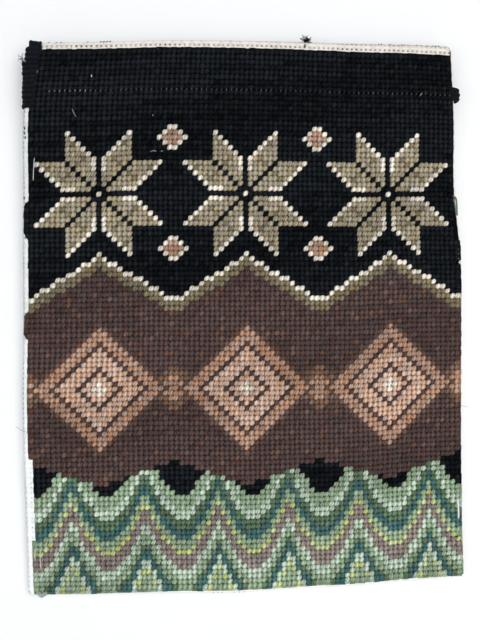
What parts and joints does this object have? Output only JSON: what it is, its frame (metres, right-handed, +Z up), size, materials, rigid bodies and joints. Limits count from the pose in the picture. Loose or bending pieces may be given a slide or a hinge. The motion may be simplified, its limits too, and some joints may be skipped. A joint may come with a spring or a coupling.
{
  "type": "needlework wall hanging",
  "caption": "Needlepoint wall hanging: a canvas panel worked in wool tent stitch, its edges turned back as hems, with a black cloth rod sleeve sewn across the top of its back.",
  "frame": {"origin": "middle of the panel's top folded edge, where the hanging is held", "axes": "+Z up along the height, +X to the viewer's right along the width, +Y from the worked face towards the wall"},
  "size_m": [0.2241, 0.0131, 0.2785],
  "materials": {
    "worked_wool": "wool yarn in tent stitch, matt and slightly fuzzy, in black, browns, greens and cream",
    "bare_canvas": "open cotton mono canvas, cream, stiff and matt",
    "black_cloth": "plain-woven black cotton, matt, with overcast wool at its ends",
    "sewing_thread": "thin spun sewing thread and loose fibres, matt"
  },
  "bodies": {
    "root": {"panel": "worked_wool", "rod_sleeve": "black_cloth"}
  },
  "joints": []
}
